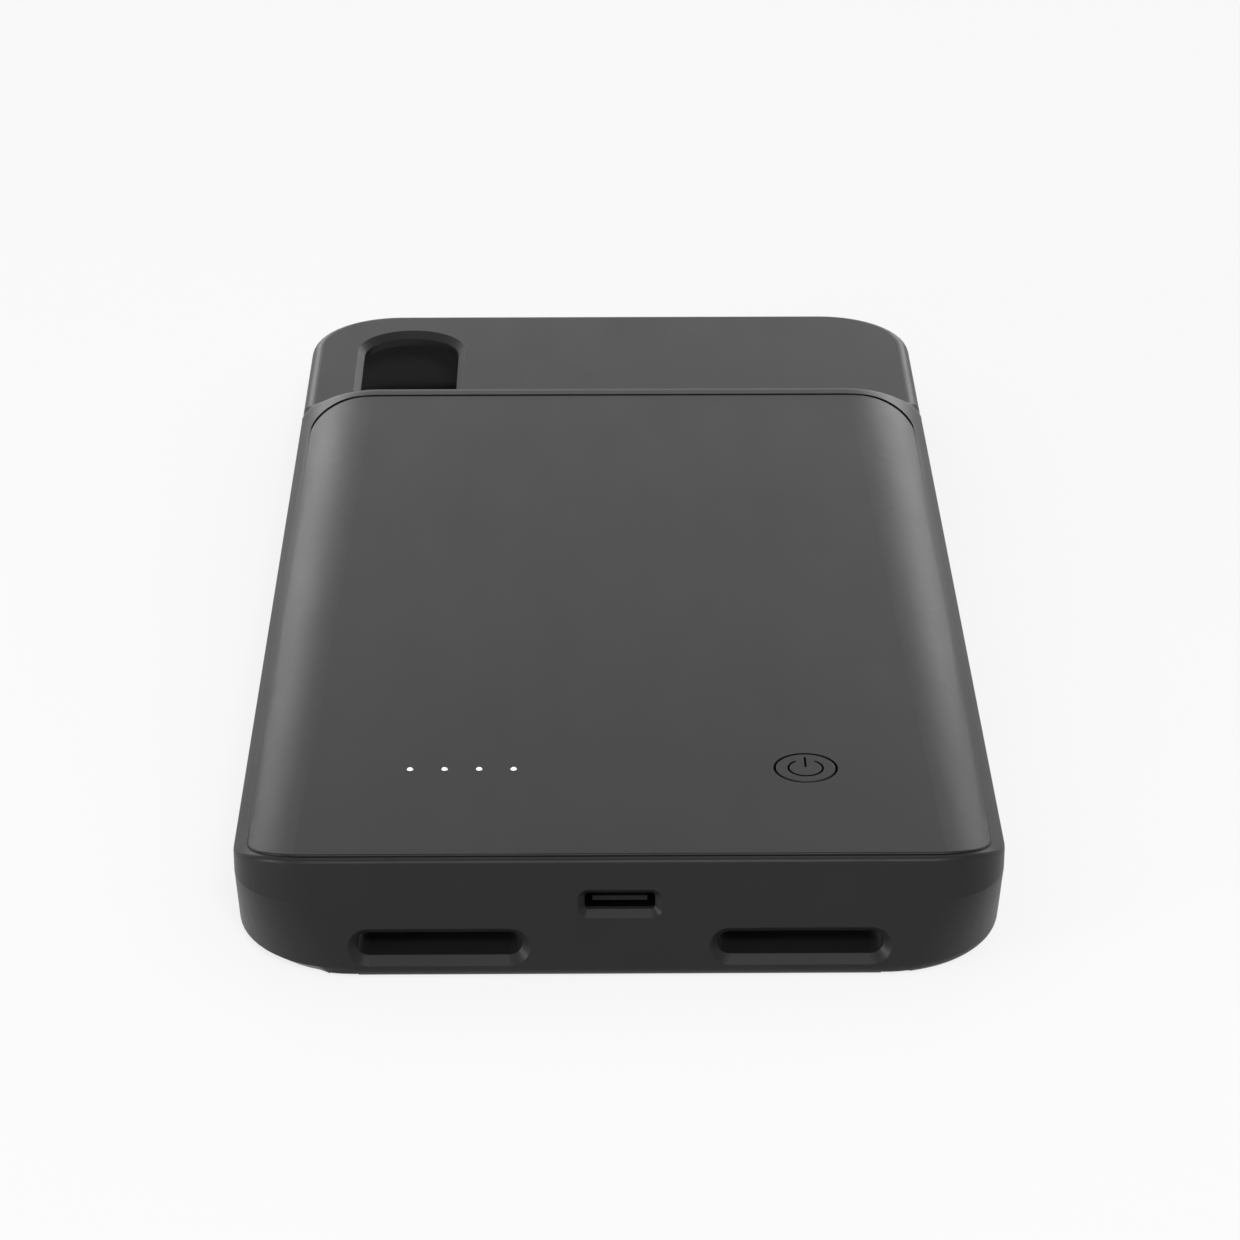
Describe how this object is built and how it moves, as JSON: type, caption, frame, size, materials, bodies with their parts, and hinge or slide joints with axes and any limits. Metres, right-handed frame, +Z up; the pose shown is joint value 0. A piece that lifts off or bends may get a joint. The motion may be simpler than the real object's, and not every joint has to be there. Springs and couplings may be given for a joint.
{
  "type": "battery charging case",
  "caption": "Slim black phone case with a battery hump on its back, a camera window, a power button with charge lights, side keys, and a charging socket and sound slots in the chin.",
  "frame": {"origin": "middle of the footprint, on the plane that the front lip rests on", "axes": "+Z up through the battery hump, -Y towards the chin with the charging socket, +X towards the wall with the volume keys"},
  "size_m": [0.0808, 0.16, 0.0143],
  "materials": {
    "frame_plastic": "fine matte soft-touch black",
    "cover_plastic": "fine matte soft-touch black",
    "tray_plastic": "plain moulded black",
    "button_plastic": "fine matte black with a printed standby sign",
    "key_plastic": "fine matte black",
    "light_guide": "milky white, clear polished domes",
    "switch_steel": "pressed",
    "black_insulator": "moulded",
    "led_resin": "clear resin",
    "circuit_board": "green solder mask",
    "screw_steel": "plated",
    "chip_resin": "moulded resin",
    "ferrite": "pressed ferrite",
    "capacitor_ceramic": "tan ceramic",
    "socket_steel": "nickel plated",
    "gold_contacts": "gold plated",
    "plug_steel": "satin",
    "cell_foil": "pouch foil",
    "adhesive": "foam tape",
    "nickel_tab": "rolled",
    "red_insulation": "smooth",
    "black_insulation": "smooth"
  },
  "bodies": {
    "case": {"case_frame": "frame_plastic", "inner_tray": "tray_plastic", "battery_cover": "cover_plastic", "switch_body": "switch_steel", "light_guide": "light_guide", "status_leds": "led_resin", "control_board": "circuit_board", "board_screws": "screw_steel", "control_chips": "chip_resin", "boost_inductor": "ferrite", "board_capacitors": "capacitor_ceramic", "socket_shell": "socket_steel", "socket_tongue": "black_insulator", "socket_contacts": "gold_contacts", "plug_housing": "black_insulator", "plug_tab": "plug_steel", "plug_contacts": "gold_contacts", "chin_board": "circuit_board", "board_link": "black_insulator", "link_pins": "gold_contacts", "battery_cell": "cell_foil", "adhesive_pads": "adhesive", "protection_board": "circuit_board", "cell_tabs": "nickel_tab", "positive_lead": "red_insulation", "negative_lead": "black_insulation"},
    "power_button": {"power_button": "button_plastic", "switch_plunger": "black_insulator"},
    "side_button": {"side_button": "key_plastic"},
    "volume_up_button": {"volume_up_button": "key_plastic"},
    "volume_down_button": {"volume_down_button": "key_plastic"}
  },
  "joints": [
    {"name": "power_button_press", "type": "slide", "parent": "case", "child": "power_button", "axis": [0, 0, -1], "range_m": [0, 0.00025], "stiffness_N_per_m": 4000},
    {"name": "side_button_press", "type": "slide", "parent": "case", "child": "side_button", "axis": [1, 0, 0], "range_m": [0, 0.00045], "stiffness_N_per_m": 2000},
    {"name": "volume_up_press", "type": "slide", "parent": "case", "child": "volume_up_button", "axis": [-1, 0, 0], "range_m": [0, 0.00045], "stiffness_N_per_m": 2000},
    {"name": "volume_down_press", "type": "slide", "parent": "case", "child": "volume_down_button", "axis": [-1, 0, 0], "range_m": [0, 0.00045], "stiffness_N_per_m": 2000}
  ]
}
